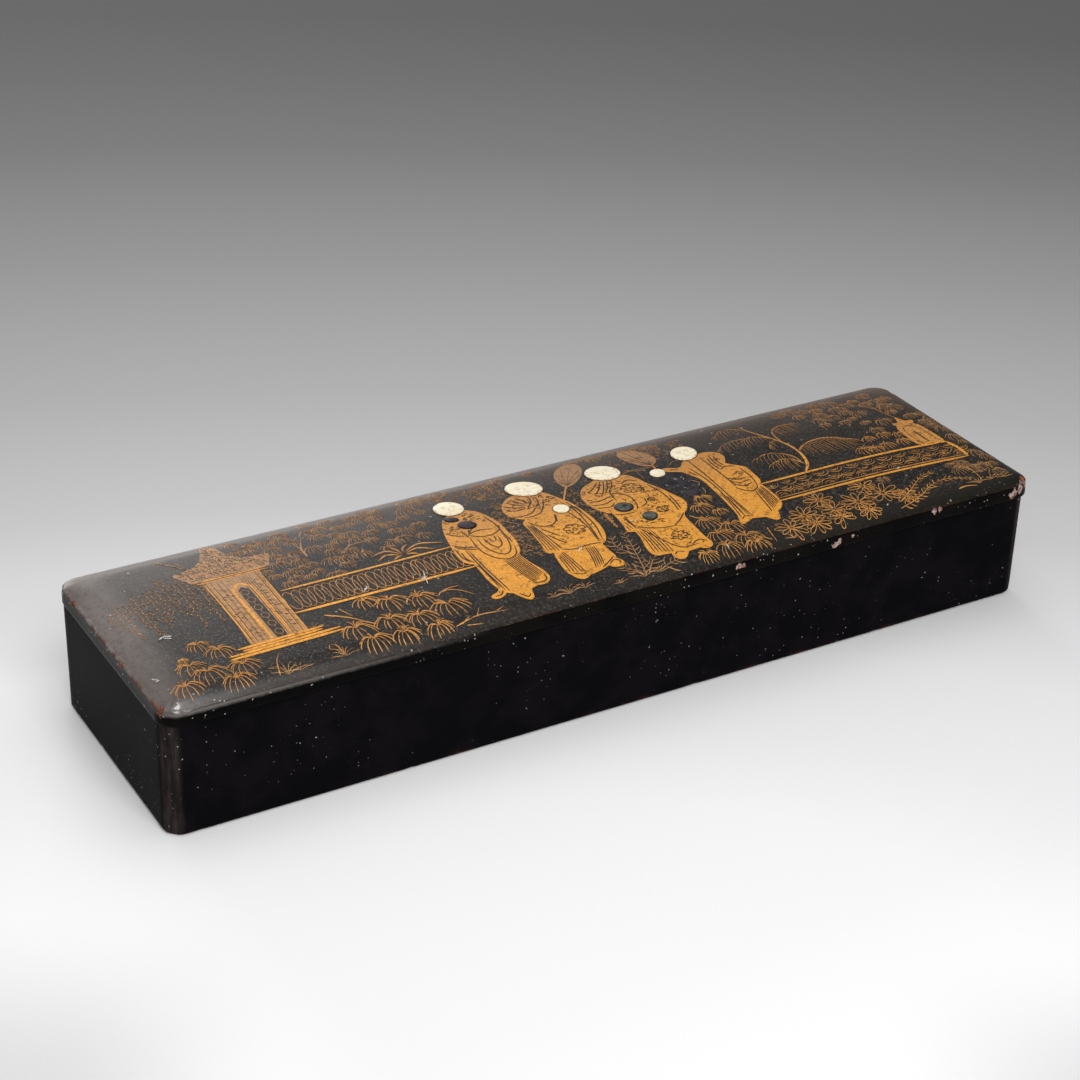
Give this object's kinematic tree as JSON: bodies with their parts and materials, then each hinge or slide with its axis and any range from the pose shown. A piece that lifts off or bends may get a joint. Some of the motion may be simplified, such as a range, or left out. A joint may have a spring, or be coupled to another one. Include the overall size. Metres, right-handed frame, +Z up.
{
  "type": "pen box",
  "caption": "Long lacquered wooden pen box with a low crowned lid on two small brass butt hinges; gilt garden scene with pale inlaid discs on the lid.",
  "frame": {"origin": "middle of the underside of the base board, on the surface that the box stands on", "axes": "+X along the box to the right as seen from the front, +Y to the hinge side at the back, +Z up"},
  "size_m": [0.2408, 0.066, 0.0362],
  "materials": {
    "box_lacquer": "glossy black lacquer over wood",
    "lid_lacquer": "worn satin brown-black lacquer over wood, with gilding",
    "hinge_brass": "aged brass",
    "bone": "polished bone",
    "horn": "dark polished horn",
    "shell": "grey-green shell"
  },
  "bodies": {
    "box": {"front_wall": "box_lacquer", "back_wall": "box_lacquer", "left_end": "box_lacquer", "right_end": "box_lacquer", "base_board": "box_lacquer", "hinge_left_box_leaf": "hinge_brass", "hinge_left_pin": "hinge_brass", "hinge_left_box_screw_1": "hinge_brass", "hinge_left_box_screw_2": "hinge_brass", "hinge_right_box_leaf": "hinge_brass", "hinge_right_pin": "hinge_brass", "hinge_right_box_screw_1": "hinge_brass", "hinge_right_box_screw_2": "hinge_brass"},
    "lid": {"lid_panel": "lid_lacquer", "lid_rail_front": "box_lacquer", "lid_rail_back": "box_lacquer", "lid_rail_left": "box_lacquer", "lid_rail_right": "box_lacquer", "hinge_left_lid_leaf": "hinge_brass", "hinge_left_lid_screw_1": "hinge_brass", "hinge_left_lid_screw_2": "hinge_brass", "hinge_right_lid_leaf": "hinge_brass", "hinge_right_lid_screw_1": "hinge_brass", "hinge_right_lid_screw_2": "hinge_brass", "face_1": "bone", "face_2": "bone", "face_3": "bone", "face_4": "bone", "hand_1": "bone", "hand_2": "bone", "robe_disc_1": "horn", "robe_disc_2": "horn", "robe_disc_3": "shell", "robe_disc_4": "shell"}
  },
  "joints": [
    {"name": "lid_hinge", "type": "hinge", "parent": "box", "child": "lid", "pos_m": [0, 0.0312, 0.0293], "axis": [-1, 0, 0], "range_deg": [0, 102]}
  ]
}
